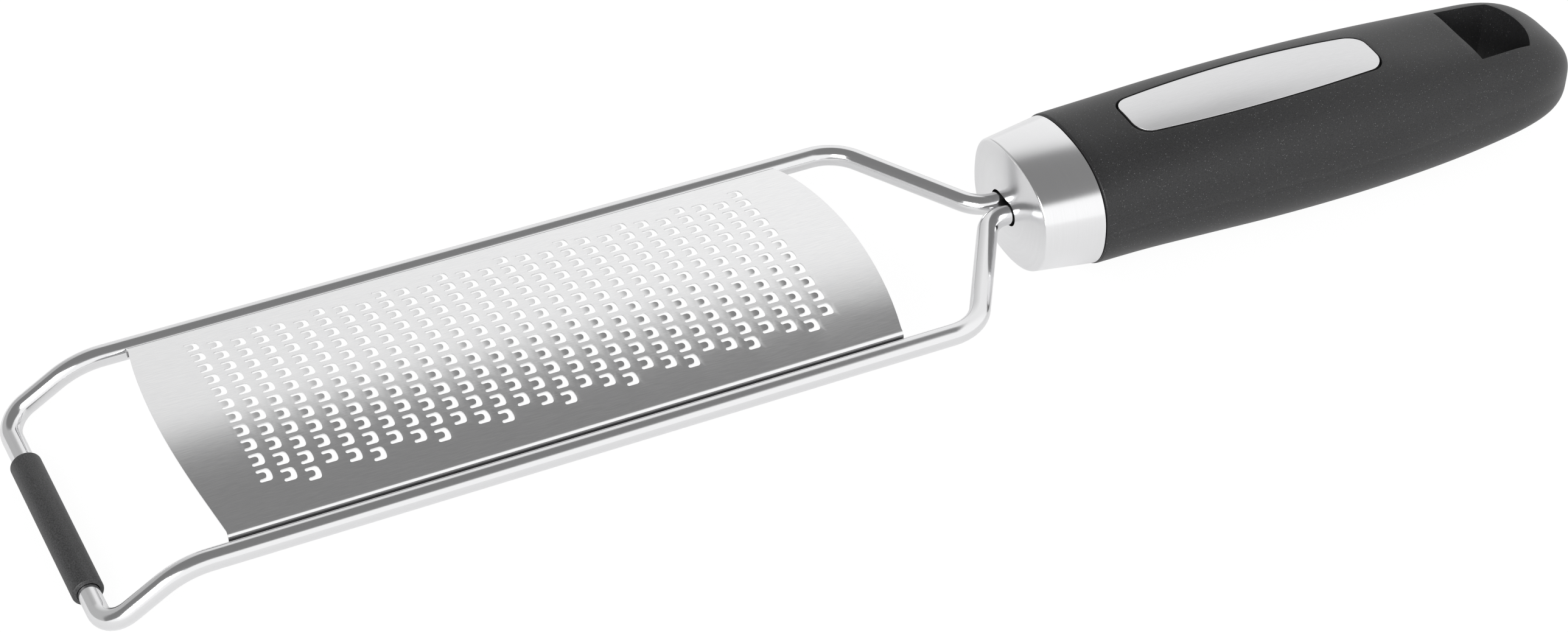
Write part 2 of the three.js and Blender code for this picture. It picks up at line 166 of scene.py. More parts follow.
clear_selection()
bpy.ops.mesh.primitive_circle_add(
    vertices=WIRE_SIDES, radius=WIRE_RADIUS * MM, location=route_points[0], rotation=(0, math.pi / 2, 0))
wire = start_piece("wire_frame_bent")
drawn_to = route_points[0]
for i in range(1, len(route_points) - 1):
    corner = route_points[i]
    bend_radius = wire_route[i][1] * MM
    back = (route_points[i - 1] - corner).normalized()
    ahead = (route_points[i + 1] - corner).normalized()
    half = back.angle(ahead) / 2
    reach = bend_radius / math.tan(half)
    centre = corner + (back + ahead).normalized() * (bend_radius / math.sin(half))
    bend_start = corner + back * reach
    axis = (bend_start - centre).cross(corner + ahead * reach - centre).normalized()
    bpy.ops.mesh.extrude_region_move(TRANSFORM_OT_translate={"value": bend_start - drawn_to})
    bpy.ops.mesh.spin(steps=BEND_STEPS, angle=2 * half - math.pi, center=centre, axis=axis)
    drawn_to = corner + ahead * reach
bpy.ops.mesh.extrude_region_move(TRANSFORM_OT_translate={"value": route_points[-1] - drawn_to})
bpy.ops.mesh.select_all(action="SELECT")
bpy.ops.mesh.remove_doubles(threshold=MERGE_GAP)
bpy.ops.mesh.fill_holes(sides=WIRE_SIDES)
close_piece(wire, 40)

# Polished stainless wire: drawn and tumbled, so it mirrors the room, a little duller in small spots.
TUMBLE_SPOT_MM = 0.4
polished, tree, shader, coords = new_material("polished_stainless_wire")
shader.inputs["Base Color"].default_value = linear("#e6e6e7")
shader.inputs["Metallic"].default_value = 1.0
tumble_spots = add_node(tree, "ShaderNodeTexNoise",
                        inputs={"Scale": 1 / (TUMBLE_SPOT_MM * MM), "Detail": 3.0},
                        links={"Vector": (coords, "Object")})
wire_gloss = add_node(tree, "ShaderNodeMapRange", inputs={"To Min": 0.10, "To Max": 0.18},
                      links={"Value": (tumble_spots, "Fac")})
tree.links.new(wire_gloss.outputs["Result"], shader.inputs["Roughness"])
dress(wire, polished)
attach(wire, "root")
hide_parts("wire_frame")


# Grating blade
# Thin stainless sheet, etched with U-shaped slots, each slot leaving a tongue that is pressed
# up a little to cut. The sheet is rolled to an arch; its long edges turn down and are welded to the wires.
SHEET = 0.28
ARCH_RADIUS = 122.1
ARCH_TOP_Z = 5.7
BLADE_LENGTH = 129.3
END_BOW = 2.8
EDGE_BEND = 1.05
EDGE_SAG = 0.4
SAG_FROM = 19.0
FLANGE_DROP = 1.2
WELD_GAP = 0.06
SLOT_MERGE_GAP = 1e-7
FIELD_MERGE_GAP = 2e-6
COLUMN_PITCH = 4.0
ROW_PITCH = 3.877
COLUMNS = 28
ROWS = 11
SHIFT_STEPS = 3
TOOTH_LEAD = 0.49
TONGUE_LIFT = 0.13
TONGUE_ROOT = -1.02
TONGUE_TIP = 0.24
TONGUE_CURVE = 1.8
BEND_ROWS = 6
LONG_EDGE_STEPS = 33
END_EDGE_STEPS = 18
# Half of one slot's outline about its middle, from its rounded base round one arm, and half of the tongue's
SLOT_OUTER_HALF = [(1.26, 0.0), (1.23, 0.5), (1.14, 0.95), (0.95, 1.27), (0.62, 1.44), (-0.95, 1.42),
                   (-1.19, 1.31), (-1.27, 1.08), (-1.19, 0.85)]
TONGUE_HALF_EDGE = [(TONGUE_ROOT, 0.72), (-0.55, 0.73), (-0.15, 0.68), (0.09, 0.5), (0.2, 0.27),
                    (TONGUE_TIP, 0.0)]

under_radius = ARCH_RADIUS - SHEET
flange_outer_y = SIDE_RUN_Y - WIRE_RADIUS - WELD_GAP
arch_turn = math.asin((flange_outer_y - EDGE_BEND - SHEET) / (under_radius - EDGE_BEND))
arch_span = ARCH_RADIUS * arch_turn
bend_span = (math.pi / 2 - arch_turn) * EDGE_BEND


def both_halves(half):
    """A half outline that starts or ends on the middle line, with its mirror image."""
    if half[0][1] == 0.0:
        return [(x, -y) for x, y in reversed(half)] + half[1:]
    return half + [(x, -y) for x, y in reversed(half[:-1])]


def tongue_height(x):
    """How far the tongue is lifted between its root and its tip."""
    return TONGUE_LIFT * max(0.0, (x - TONGUE_ROOT) / (TONGUE_TIP - TONGUE_ROOT)) ** TONGUE_CURVE


def edges_round(points):
    return [(i, (i + 1) % len(points)) for i in range(len(points))]


def flat_loop(name, points, filled=False):
    """A closed outline in millimetres, as edges to fill or as one face."""
    spots = [place(*point) if len(point) == 3 else place(*point, 0.0) for point in points]
    mesh = bpy.data.meshes.new(name)
    mesh.from_pydata(spots, [] if filled else edges_round(points), [range(len(points))] if filled else [])
    obj = bpy.data.objects.new(name, mesh)
    bpy.context.collection.objects.link(obj)
    return obj


def join_and_open(objects):
    clear_selection()
    for obj in objects:
        obj.select_set(True)
    bpy.context.view_layer.objects.active = objects[0]
    if len(objects) > 1:
        bpy.ops.object.join()
    bpy.ops.object.mode_set(mode="EDIT")
    return objects[0]


# One cell of the tooth pattern: a slanted patch of sheet with its slot left open
lean = ROW_PITCH / SHIFT_STEPS / 2
half_row = ROW_PITCH / 2
half_column = COLUMN_PITCH / 2
cell_edge = [(-half_column, half_row + lean), (-half_column, -half_row + lean),
             (half_column, -half_row - lean), (half_column, half_row - lean)]
slot_outer = both_halves(SLOT_OUTER_HALF)
tongue_edge = [(x, y, tongue_height(x)) for x, y in both_halves(TONGUE_HALF_EDGE)]
blade = join_and_open([flat_loop("grating_blade_etched", cell_edge),
                       flat_loop("slot", slot_outer + [tongue_edge[0], tongue_edge[-1]])])
bpy.ops.mesh.select_all(action="SELECT")
bpy.ops.mesh.fill(use_beauty=True)
bpy.ops.object.mode_set(mode="OBJECT")

# The tongue is a row of strips from its root to its tip, so that it can bend
tip = len(tongue_edge) // 2
strips = [[tongue_edge[i], tongue_edge[i + 1], tongue_edge[-i - 2], tongue_edge[-i - 1]]
          for i in range(tip - 1)]
strips.append(tongue_edge[tip - 1:tip + 2])
blade = join_and_open([blade] + [flat_loop("tongue", strip, filled=True) for strip in strips])
bpy.ops.mesh.select_all(action="SELECT")
bpy.ops.mesh.remove_doubles(threshold=SLOT_MERGE_GAP)
bpy.ops.object.mode_set(mode="OBJECT")

# The cell is repeated down a column, then over the stepped columns of one group, then along the blade
first_column = (BLADE_LENGTH - (COLUMNS - 1) * COLUMN_PITCH) / 2 - TOOTH_LEAD
top_row = (ROWS - 1 + (SHIFT_STEPS - 1) / SHIFT_STEPS) / 2 * ROW_PITCH
groups = math.ceil(COLUMNS / SHIFT_STEPS)
for count, step in ((ROWS, (0, -ROW_PITCH)), (SHIFT_STEPS, (COLUMN_PITCH, -ROW_PITCH / SHIFT_STEPS)),
                    (groups, (COLUMN_PITCH * SHIFT_STEPS, 0))):
    apply_modifier(blade, "ARRAY", count=count, use_relative_offset=False, use_constant_offset=True,
                   constant_offset_displace=(step[0] * MM, step[1] * MM, 0), use_merge_vertices=False)
for vertex in blade.data.vertices:
    vertex.co.x += first_column * MM
    vertex.co.y += top_row * MM

# The last group is cut short after the last column, and the cells are joined
last_line = first_column + (COLUMNS - 0.5) * COLUMN_PITCH
bpy.ops.object.mode_set(mode="EDIT")
select_where(blade, "faces", lambda face: face.calc_center_median().x > last_line * MM)
bpy.ops.mesh.delete(type="FACE")
bpy.ops.mesh.select_all(action="SELECT")
bpy.ops.mesh.remove_doubles(threshold=FIELD_MERGE_GAP)
bpy.ops.object.mode_set(mode="OBJECT")


def end_bow(y):
    return END_BOW * (1 - (y / arch_span) ** 2)


# The plain sheet round the tooth field is filled in, and its long edges are drawn out to be turned down
long_edge_x = [i * BLADE_LENGTH / LONG_EDGE_STEPS for i in range(LONG_EDGE_STEPS + 1)]
end_y = [arch_span * (1 - 2 * i / END_EDGE_STEPS) for i in range(1, END_EDGE_STEPS)]
sheet_edge = ([(x, arch_span) for x in reversed(long_edge_x)] + [(-end_bow(y), y) for y in end_y]
              + [(x, -arch_span) for x in long_edge_x]
              + [(BLADE_LENGTH + end_bow(y), y) for y in reversed(end_y)])
blade = join_and_open([blade, flat_loop("sheet_edge", sheet_edge)])


def on_field_rim(edge):
    """The sheet's outline, and the outer sides of the tooth cells that face it."""
    if edge.is_wire:
        return True
    if not edge.is_boundary:
        return False
    start, stop = (v.co for v in edge.verts)
    longest = max(abs(start.x - stop.x), abs(start.y - stop.y))
    return longest > 0.3 * half_column * MM and all(
        math.isclose(((spot.x / MM - first_column) / half_column) % 2, 1.0, abs_tol=1e-3)
        for spot in (start, stop))


select_where(blade, "edges", on_field_rim)
bpy.ops.mesh.fill(use_beauty=True)
for side in (1, -1):
    select_where(blade, "edges", lambda edge: edge.is_boundary and all(
        abs(v.co.y - side * arch_span * MM) < SLOT_MERGE_GAP for v in edge.verts))
    for row in range(BEND_ROWS):
        bpy.ops.mesh.extrude_region_move(
            TRANSFORM_OT_translate={"value": (0, side * bend_span / BEND_ROWS * MM, 0)})
    bpy.ops.mesh.extrude_region_move(TRANSFORM_OT_translate={"value": (0, side * FLANGE_DROP * MM, 0)})
turn_outward()


def roll_sheet(x, flat_y, lift):
    """Carries a point of the flat sheet onto the rolled arch, its turned edge or its flange."""
    arch_middle_z = ARCH_TOP_Z - ARCH_RADIUS
    out = abs(flat_y)
    sag = EDGE_SAG * min(1.0, max(0.0, (out - SAG_FROM) / (arch_span - SAG_FROM))) ** 2
    if out <= arch_span + 1e-6:
        turn = flat_y / ARCH_RADIUS
        radius = ARCH_RADIUS + lift
        return place(x, radius * math.sin(turn), arch_middle_z + radius * math.cos(turn) - sag)
    bend_y = (under_radius - EDGE_BEND) * math.sin(arch_turn)
    bend_z = arch_middle_z + (under_radius - EDGE_BEND) * math.cos(arch_turn)
    turn = min(math.pi / 2, arch_turn + (out - arch_span) / EDGE_BEND)
    drop = max(0.0, out - arch_span - bend_span)
    radius = EDGE_BEND + SHEET
    return place(x, math.copysign(bend_y + radius * math.sin(turn), flat_y),
                 bend_z + radius * math.cos(turn) - drop - sag)


for vertex in blade.data.vertices:
    vertex.co = roll_sheet(vertex.co.x / MM, vertex.co.y / MM, vertex.co.z / MM)
bpy.ops.object.mode_set(mode="EDIT")
turn_outward()
if sum(face.normal.z * face.area for face in blade.data.polygons) < 0:
    blade.data.flip_normals()
apply_modifier(blade, "SOLIDIFY", thickness=SHEET * MM, offset=-1.0)
shade_and_lay_down(blade, 28)

# Brushed stainless sheet: belt-ground along its length before etching, so it spreads light across the grain.
# The lines are drawn a few times as coarse as real ones, so that they show.
BRUSH_WIDTH_MM = 0.12
BRUSH_LENGTH_MM = 2.5
BRUSH_HEIGHT_MM = 0.03


def brushed_steel(name, low_colour, high_colour, low_gloss, high_gloss):
    """Steel with fine lines along the tool, in colour, gloss and height."""
    material, tree, shader, coords = new_material(name)
    shader.inputs["Metallic"].default_value = 1.0
    grain_space = add_node(tree, "ShaderNodeMapping",
                           inputs={"Scale": (1 / (BRUSH_LENGTH_MM * MM), 1 / (BRUSH_WIDTH_MM * MM),
                                             1 / (BRUSH_WIDTH_MM * MM))},
                           links={"Vector": (coords, "Object")})
    grain = add_node(tree, "ShaderNodeTexNoise", inputs={"Scale": 1.0, "Detail": 3.0, "Roughness": 0.55},
                     links={"Vector": (grain_space, "Vector")})
    colour = add_node(tree, "ShaderNodeValToRGB", links={"Fac": (grain, "Fac")},
                      stops=[(0.3, low_colour), (0.7, high_colour)])
    tree.links.new(colour.outputs["Color"], shader.inputs["Base Color"])
    gloss = add_node(tree, "ShaderNodeMapRange", inputs={"To Min": low_gloss, "To Max": high_gloss},
                     links={"Value": (grain, "Fac")})
    tree.links.new(gloss.outputs["Result"], shader.inputs["Roughness"])
    bump = add_node(tree, "ShaderNodeBump", inputs={"Strength": 0.05, "Distance": BRUSH_HEIGHT_MM * MM},
                    links={"Height": (grain, "Fac")})
    tree.links.new(bump.outputs["Normal"], shader.inputs["Normal"])
    return material


sheet_steel = brushed_steel("brushed_stainless_sheet", "#e8e8e9", "#f2f2f2", 0.15, 0.2)
# Flange: the turned-down edge gets a dark grey that is painted shade for the crevice where the sheet meets
# the wire, and a duller gloss.
FLANGE_FACING = 0.97
flange_steel_painted_shade = brushed_steel("dull_flange_painted_shade", "#7c7c7d", "#8a8a8b", 0.4, 0.55)
dress(blade, sheet_steel)
blade.data.materials.append(flange_steel_painted_shade)
flange_from_y = (flange_outer_y - SHEET - 0.1) * MM
# The flange's sideways faces take the dark grey: painted shade of the crevice, not the steel's own colour.
for face in blade.data.polygons:
    if abs(face.center.y) > flange_from_y and abs(face.normal.y) > FLANGE_FACING:
        face.material_index = 1
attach(blade, "root")
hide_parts("grating_blade")


# Rubber foot
# A black rubber tube pushed over the front bar before the wire is bent, so that the tool
# doesn't slip on a bowl or a board. It is moulded in two halves and shows the faint line between them.
FOOT_LENGTH = 36.5
FOOT_MID_Y = -1.3
FOOT_RADIUS = 2.87
FOOT_SIDES = 64
FOOT_EDGE = 0.4
FOOT_FIT = 0.1
MOULD_LINE_WIDTH = 0.16
MOULD_LINE_DEPTH = 0.14
MOULD_LINE_TURN = math.radians(118)
foot_place = place(FRONT_BAR_X, FOOT_MID_Y, FRONT_BAR_Z)
clear_selection()
bpy.ops.mesh.primitive_cylinder_add(vertices=FOOT_SIDES, radius=FOOT_RADIUS * MM, depth=FOOT_LENGTH * MM,
                                    location=foot_place, rotation=(math.pi / 2, 0, 0))
foot = start_piece("foot_sleeve_rubber")
select_where(foot, "faces", lambda face: abs(face.normal.y) > 0.9)
bpy.ops.mesh.inset(thickness=(FOOT_RADIUS - WIRE_RADIUS - FOOT_FIT) * MM, use_individual=True)
bpy.ops.mesh.delete(type="FACE")
select_where(foot, "edges", lambda edge: edge.is_boundary)
bpy.ops.mesh.bridge_edge_loops()


def from_foot_axis(vertex):
    return Vector((vertex.co.x - foot_place.x, 0.0, vertex.co.z - foot_place.z))


def on_foot_outside(vertex):
    return from_foot_axis(vertex).length > (FOOT_RADIUS - 0.05) * MM


select_where(foot, "edges", lambda edge: all(
    abs(abs(v.co.y - foot_place.y) - FOOT_LENGTH / 2 * MM) < MERGE_GAP and on_foot_outside(v)
    for v in edge.verts))
bpy.ops.mesh.bevel(offset=FOOT_EDGE * MM, segments=4)

# The two halves of the mould meet in one thin groove along the top and one under it
mould_way = Vector((math.cos(MOULD_LINE_TURN), 0.0, math.sin(MOULD_LINE_TURN)))
for side in (1, -1):
    select_where(foot, "edges", lambda edge: all(
        on_foot_outside(v) and from_foot_axis(v).angle(side * mould_way) < math.pi / FOOT_SIDES
        for v in edge.verts))
    bpy.ops.mesh.bevel(offset=MOULD_LINE_WIDTH / 2 * MM, segments=2)
    bpy.ops.mesh.select_all(action="DESELECT")
    work = bmesh.from_edit_mesh(foot.data)
    outside = [v for v in work.verts if on_foot_outside(v)]
    nearest = min(from_foot_axis(v).angle(side * mould_way) for v in outside)
    for vertex in outside:
        if abs(from_foot_axis(vertex).angle(side * mould_way) - nearest) < 0.002:
            vertex.co -= from_foot_axis(vertex).normalized() * MOULD_LINE_DEPTH * MM
    bmesh.update_edit_mesh(foot.data)
close_piece(foot, 40)

# Moulded rubber: near black, dull, with a fine dusty tooth.
RUBBER_TOOTH_MM = 0.25
RUBBER_TOOTH_HEIGHT_MM = 0.1
rubber, tree, shader, coords = new_material("black_moulded_rubber")
rubber_tooth = add_node(tree, "ShaderNodeTexNoise",
                        inputs={"Scale": 1 / (RUBBER_TOOTH_MM * MM), "Detail": 4.0},
                        links={"Vector": (coords, "Object")})
rubber_colour = add_node(tree, "ShaderNodeValToRGB", links={"Fac": (rubber_tooth, "Fac")},
                         stops=[(0.35, "#2a2a2b"), (0.7, "#4c4c4d")])
tree.links.new(rubber_colour.outputs["Color"], shader.inputs["Base Color"])
shader.inputs["Roughness"].default_value = 0.42
rubber_bump = add_node(tree, "ShaderNodeBump",
                       inputs={"Strength": 0.25, "Distance": RUBBER_TOOTH_HEIGHT_MM * MM},
                       links={"Height": (rubber_tooth, "Fac")})
tree.links.new(rubber_bump.outputs["Normal"], shader.inputs["Normal"])
dress(foot, rubber)
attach(foot, "root")
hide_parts("foot_sleeve")


# Inner core
# A plain black moulding inside the handle, pressed over the two wire tails so that it holds them.
# Only a sliver of it shows through the ferrule's slot, so its solid is kept as it is.

# Moulded nylon: black, half dull, faintly clouded.
CORE_CLOUD_MM = 2 / 3
core_plastic, tree, shader, coords = new_material("black_moulded_nylon")
core_cloud = add_node(tree, "ShaderNodeTexNoise", inputs={"Scale": 1 / (CORE_CLOUD_MM * MM), "Detail": 2.0},
                      links={"Vector": (coords, "Object")})
core_colour = add_node(tree, "ShaderNodeValToRGB", links={"Fac": (core_cloud, "Fac")},
                       stops=[(0.0, "#161616"), (1.0, "#242424")])
tree.links.new(core_colour.outputs["Color"], shader.inputs["Base Color"])
shader.inputs["Roughness"].default_value = 0.55
dress(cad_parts["handle_core"], core_plastic)


# Ferrule
# A cup drawn from stainless sheet, oval, a little wider at its open end, with a slot punched in its slightly
# domed front for the two wire tails. Its sides are satin ground, its front edge is left nearly sharp.
FERRULE_FRONT_X = 165.9
FERRULE_LENGTH = 12.4
FERRULE_FRONT_HALF = (14.3, 11.5)
FERRULE_REAR_HALF = (16.35, 12.6)
FERRULE_WALL = 0.9
FERRULE_EDGE = 0.4
FERRULE_DOME = 0.85
DOME_RINGS = 5
DOME_FROM = 0.4
FERRULE_BOW = 0.5
FERRULE_LIP = 0.15
ROUND_STEPS = 5
HANDLE_MID_Z = 0.3
HANDLE_SQUARENESS = 2.35
HANDLE_SIDES = 96
SIDE_LINE_TURN = 0.0045
SLOT_MARGIN = 0.45
# Places round the handle, with a narrow pair beside each side line for the groove of the mould
handle_turns = sorted([2 * math.pi * k / HANDLE_SIDES for k in range(HANDLE_SIDES)]
                      + [SIDE_LINE_TURN, math.pi - SIDE_LINE_TURN, math.pi + SIDE_LINE_TURN,
                         2 * math.pi - SIDE_LINE_TURN])


def slot_ring(x):
    """The slot for the two tails: straight above and below, round at both ends."""
    radius = WIRE_RADIUS + SLOT_MARGIN
    ring = []
    for turn in handle_turns:
        end = 0.0 if abs(math.cos(turn)) < 1e-6 else math.copysign(TAIL_Y, math.cos(turn))
        ring.append(place(x, end + radius * math.cos(turn), radius * math.sin(turn)))
    return ring


def oval_ring(x, half_y, half_z, mid_z, power=HANDLE_SQUARENESS, groove=0.0, bow=0.0):
    """A squarish oval across the handle, grooved on both side lines, its sides set back by the bow."""
    ring = []
    for turn in handle_turns:
        cosine, sine = math.cos(turn), math.sin(turn)
        out = half_y * abs(cosine) ** (2 / power) - (groove if abs(sine) < 1e-6 else 0.0)
        ring.append(place(x + bow * (out / half_y) ** 2, math.copysign(out, cosine),
                          mid_z + half_z * math.copysign(abs(sine) ** (2 / power), sine)))
    return ring


def draw_rings(name, rings):
    """Starts from a circle, gives it the first ring's shape and extrudes it from ring to ring.

    An extruded ring keeps the order of the ring that it came from, so each vertex finds its own spot.
    """
    clear_selection()
    bpy.ops.mesh.primitive_circle_add(vertices=len(handle_turns), radius=MM)
    obj = start_piece(name)
    work = bmesh.from_edit_mesh(obj.data)
    fresh = sorted(work.verts, key=lambda v: math.atan2(v.co.y, v.co.x) % (2 * math.pi))
    for i, ring in enumerate(rings):
        if i:
            bpy.ops.mesh.extrude_region_move(TRANSFORM_OT_translate={"value": (0, 0, 0)})
            work = bmesh.from_edit_mesh(obj.data)
            drawn = sorted((v for v in work.verts if v.select), key=lambda v: v.index)
            fresh = [drawn[rank] for rank in ranks]
        else:
            ranks = [sorted(v.index for v in fresh).index(v.index) for v in fresh]
        for vertex, spot in zip(fresh, ring):
            vertex.co = spot
        bmesh.update_edit_mesh(obj.data)
    return obj


def ferrule_half(x, inset):
    """Half width and half height of the cup at x, less the inset."""
    share = (x - FERRULE_FRONT_X) / FERRULE_LENGTH
    return [front + (rear - front) * share - inset
            for front, rear in zip(FERRULE_FRONT_HALF, FERRULE_REAR_HALF)]


def ferrule_oval(x, inset, bow=0.0):
    return oval_ring(x, *ferrule_half(x, inset), HANDLE_MID_Z, bow=bow)


ferrule_rear_x = FERRULE_FRONT_X + FERRULE_LENGTH
ferrule_inner_x = FERRULE_FRONT_X + FERRULE_WALL
ferrule_rings = [slot_ring(FERRULE_FRONT_X - FERRULE_DOME)]
for step in range(1, DOME_RINGS):
    share = DOME_FROM + (1 - DOME_FROM) * step / DOME_RINGS
    flat_half = [half * share for half in ferrule_half(FERRULE_FRONT_X, FERRULE_EDGE)]
    ferrule_rings.append(oval_ring(FERRULE_FRONT_X - FERRULE_DOME * (1 - share * share), *flat_half,
                                   HANDLE_MID_Z * share, bow=FERRULE_BOW * share * share))
for step in range(ROUND_STEPS + 1):
    turn = math.pi / 2 * step / ROUND_STEPS
    ferrule_rings.append(ferrule_oval(FERRULE_FRONT_X + FERRULE_EDGE * (1 - math.cos(turn)),
                                      FERRULE_EDGE * (1 - math.sin(turn)), FERRULE_BOW))
ferrule_rings += [ferrule_oval(ferrule_rear_x - FERRULE_LIP, 0.0),
                  ferrule_oval(ferrule_rear_x, FERRULE_LIP),
                  ferrule_oval(ferrule_rear_x, FERRULE_WALL),
                  ferrule_oval(ferrule_inner_x, FERRULE_WALL, FERRULE_BOW),
                  slot_ring(ferrule_inner_x - FERRULE_DOME)]
ferrule = draw_rings("ferrule_cup", ferrule_rings)
select_where(ferrule, "edges", lambda edge: edge.is_boundary)
bpy.ops.mesh.bridge_edge_loops()
close_piece(ferrule, 35)

# Satin stainless: ground round and round the cup, which leaves faint rings. They are drawn wider than real
# ones, so that they show.
SATIN_LINE_MM = 0.09
SATIN_RUN_MM = 25.0
satin, tree, shader, coords = new_material("satin_stainless_cup")
shader.inputs["Metallic"].default_value = 1.0
satin_space = add_node(tree, "ShaderNodeMapping",
                       inputs={"Scale": (1 / (SATIN_LINE_MM * MM), 1 / (SATIN_RUN_MM * MM),
                                         1 / (SATIN_RUN_MM * MM))},
                       links={"Vector": (coords, "Object")})
satin_lines = add_node(tree, "ShaderNodeTexNoise", inputs={"Scale": 1.0, "Detail": 3.0},
                       links={"Vector": (satin_space, "Vector")})
satin_colour = add_node(tree, "ShaderNodeValToRGB", links={"Fac": (satin_lines, "Fac")},
                        stops=[(0.3, "#ededee"), (0.7, "#f0f0f1")])
tree.links.new(satin_colour.outputs["Color"], shader.inputs["Base Color"])
satin_gloss = add_node(tree, "ShaderNodeMapRange", inputs={"To Min": 0.17, "To Max": 0.2},
                       links={"Value": (satin_lines, "Fac")})
tree.links.new(satin_gloss.outputs["Result"], shader.inputs["Roughness"])
dress(ferrule, satin)
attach(ferrule, "root")
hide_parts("ferrule")


# Grip
# A charcoal soft-touch moulding pushed over the core, with a moulded hang hole near its end and
# a shallow bed for the plate. It is matt and full of fine pale specks.
SEAM = 0.15
GRIP_EDGE = 0.45
GRIP_LENGTH = 114.0
GRIP_HALF_WIDTH = 17.1
GRIP_HALF_HEIGHT = 14.33
GRIP_STATIONS = 60
CORE_HALF = (11.3, 8.8)
CORE_END_X = 223.2
END_SQUARENESS = 3.2
SQUARE_FROM, SQUARE_TO = 0.55, 0.82
SIDE_GROOVE = 0.03
GROOVE_FROM, GROOVE_TO = 0.02, 0.97
# Share of the length, then half width, half height and middle height as shares of the fullest section
GRIP_SHARES = [(0.0, 0.972, 0.894, 0.023), (0.1, 0.974, 0.917, 0.031), (0.22, 0.991, 0.958, 0.021),
               (0.36, 0.997, 1.0, -0.007), (0.5, 1.0, 0.993, -0.031), (0.62, 0.991, 0.948, -0.045),
               (0.72, 0.959, 0.903, -0.052), (0.8, 0.915, 0.861, -0.045), (0.87, 0.863, 0.809, -0.031),
               (0.92, 0.778, 0.729, -0.045), (0.955, 0.655, 0.618, -0.083), (0.98, 0.491, 0.458, -0.132),
               (0.994, 0.292, 0.264, -0.174), (1.0, 0.1, 0.09, -0.185)]
grip_front_x = ferrule_rear_x + SEAM


def grip_squareness(share):
    """The grip's top and sides grow flatter toward the hang hole."""
    t = min(1.0, max(0.0, (share - SQUARE_FROM) / (SQUARE_TO - SQUARE_FROM)))
    return HANDLE_SQUARENESS + (END_SQUARENESS - HANDLE_SQUARENESS) * t * t * (3 - 2 * t)


def grip_section(share):
    """Half width, half height and middle height of the grip, eased between the drawn sections.

    A squarer section is drawn in, so that the grip keeps its outline from the photograph's side.
    """
    i = 0
    while i + 2 < len(GRIP_SHARES) and GRIP_SHARES[i + 1][0] < share:
        i += 1
    before, start, stop, after = (GRIP_SHARES[max(i - 1, 0)], GRIP_SHARES[i], GRIP_SHARES[i + 1],
                                  GRIP_SHARES[min(i + 2, len(GRIP_SHARES) - 1)])
    width = stop[0] - start[0]
    t = (share - start[0]) / width
    eased = []
    for k in (1, 2, 3):
        slope_in = (stop[k] - before[k]) / (stop[0] - before[0]) * width
        slope_out = (after[k] - start[k]) / (after[0] - start[0]) * width
        eased.append((2 * t ** 3 - 3 * t ** 2 + 1) * start[k] + (t ** 3 - 2 * t ** 2 + t) * slope_in
                     + (3 * t ** 2 - 2 * t ** 3) * stop[k] + (t ** 3 - t ** 2) * slope_out)
    power = grip_squareness(share)
    drawn_in = 2 ** (1 / power - 1 / HANDLE_SQUARENESS)
    return (eased[0] * GRIP_HALF_WIDTH * drawn_in, eased[1] * GRIP_HALF_HEIGHT * drawn_in,
            eased[2] * GRIP_HALF_HEIGHT)


def grip_oval(share, inset=0.0):
    half_y, half_z, mid_z = grip_section(share)
    return oval_ring(grip_front_x + share * GRIP_LENGTH, half_y - inset, half_z - inset, mid_z,
                     grip_squareness(share), SIDE_GROOVE if GROOVE_FROM < share < GROOVE_TO else 0.0)


grip_rings = [oval_ring(CORE_END_X, *CORE_HALF, 0.0, 2.0), oval_ring(grip_front_x, *CORE_HALF, 0.0, 2.0)]
for step in range(ROUND_STEPS + 1):
    turn = math.pi / 2 * step / ROUND_STEPS
    grip_rings.append(grip_oval(GRIP_EDGE * (1 - math.cos(turn)) / GRIP_LENGTH,
                                GRIP_EDGE * (1 - math.sin(turn))))
for step in range(1, GRIP_STATIONS + 1):
    share = math.sin(math.pi / 2 * step / GRIP_STATIONS)
    if share * GRIP_LENGTH > 2 * GRIP_EDGE:
        grip_rings.append(grip_oval(share))
grip = draw_rings("grip_soft_touch", grip_rings)
bpy.ops.mesh.select_all(action="SELECT")
bpy.ops.mesh.fill_holes(sides=len(handle_turns))
turn_outward()


def upright_cutter(name, outline, low, high):
    """A straight-walled block over an outline, to cut a hole or a bed with."""
    cutter = join_and_open([flat_loop(name, [(x, y, low) for x, y in outline])])
    bpy.ops.mesh.select_all(action="SELECT")
    bpy.ops.mesh.edge_face_add()
    bpy.ops.mesh.extrude_region_move(TRANSFORM_OT_translate={"value": (0, 0, (high - low) * MM)})
    turn_outward()
    return cutter


def cut(obj, cutter):
    apply_modifier(obj, "BOOLEAN", operation="DIFFERENCE", solver="EXACT", object=cutter)
    bpy.data.objects.remove(cutter, do_unlink=True)


# The hang hole has a nearly straight wall toward the blade and a bowed one toward the end
HOLE_FRONT_X = 267.25
HOLE_SIDE = 12.0
HOLE_LENGTH = 14.6
HOLE_HALF = (8.75, 7.9)
HOLE_FRONT_BOW = 0.5
HOLE_EDGE = 0.3
HOLE_STEPS = 12
CUT_REACH = 30.0


def bowed(x, bow, half, turn):
    """Points across the hole on a shallow bow, from one side to the other."""
    shares = [2 * step / HOLE_STEPS - 1 for step in range(HOLE_STEPS + 1)]
    return [(x + bow * (1 - t * t), turn * half * t) for t in shares]


hole_outline = (bowed(HOLE_FRONT_X + HOLE_SIDE, HOLE_LENGTH - HOLE_SIDE, HOLE_HALF[1], 1)
                + bowed(HOLE_FRONT_X, -HOLE_FRONT_BOW, HOLE_HALF[0], -1))
cut(grip, upright_cutter("hang_hole", hole_outline, -CUT_REACH, CUT_REACH))

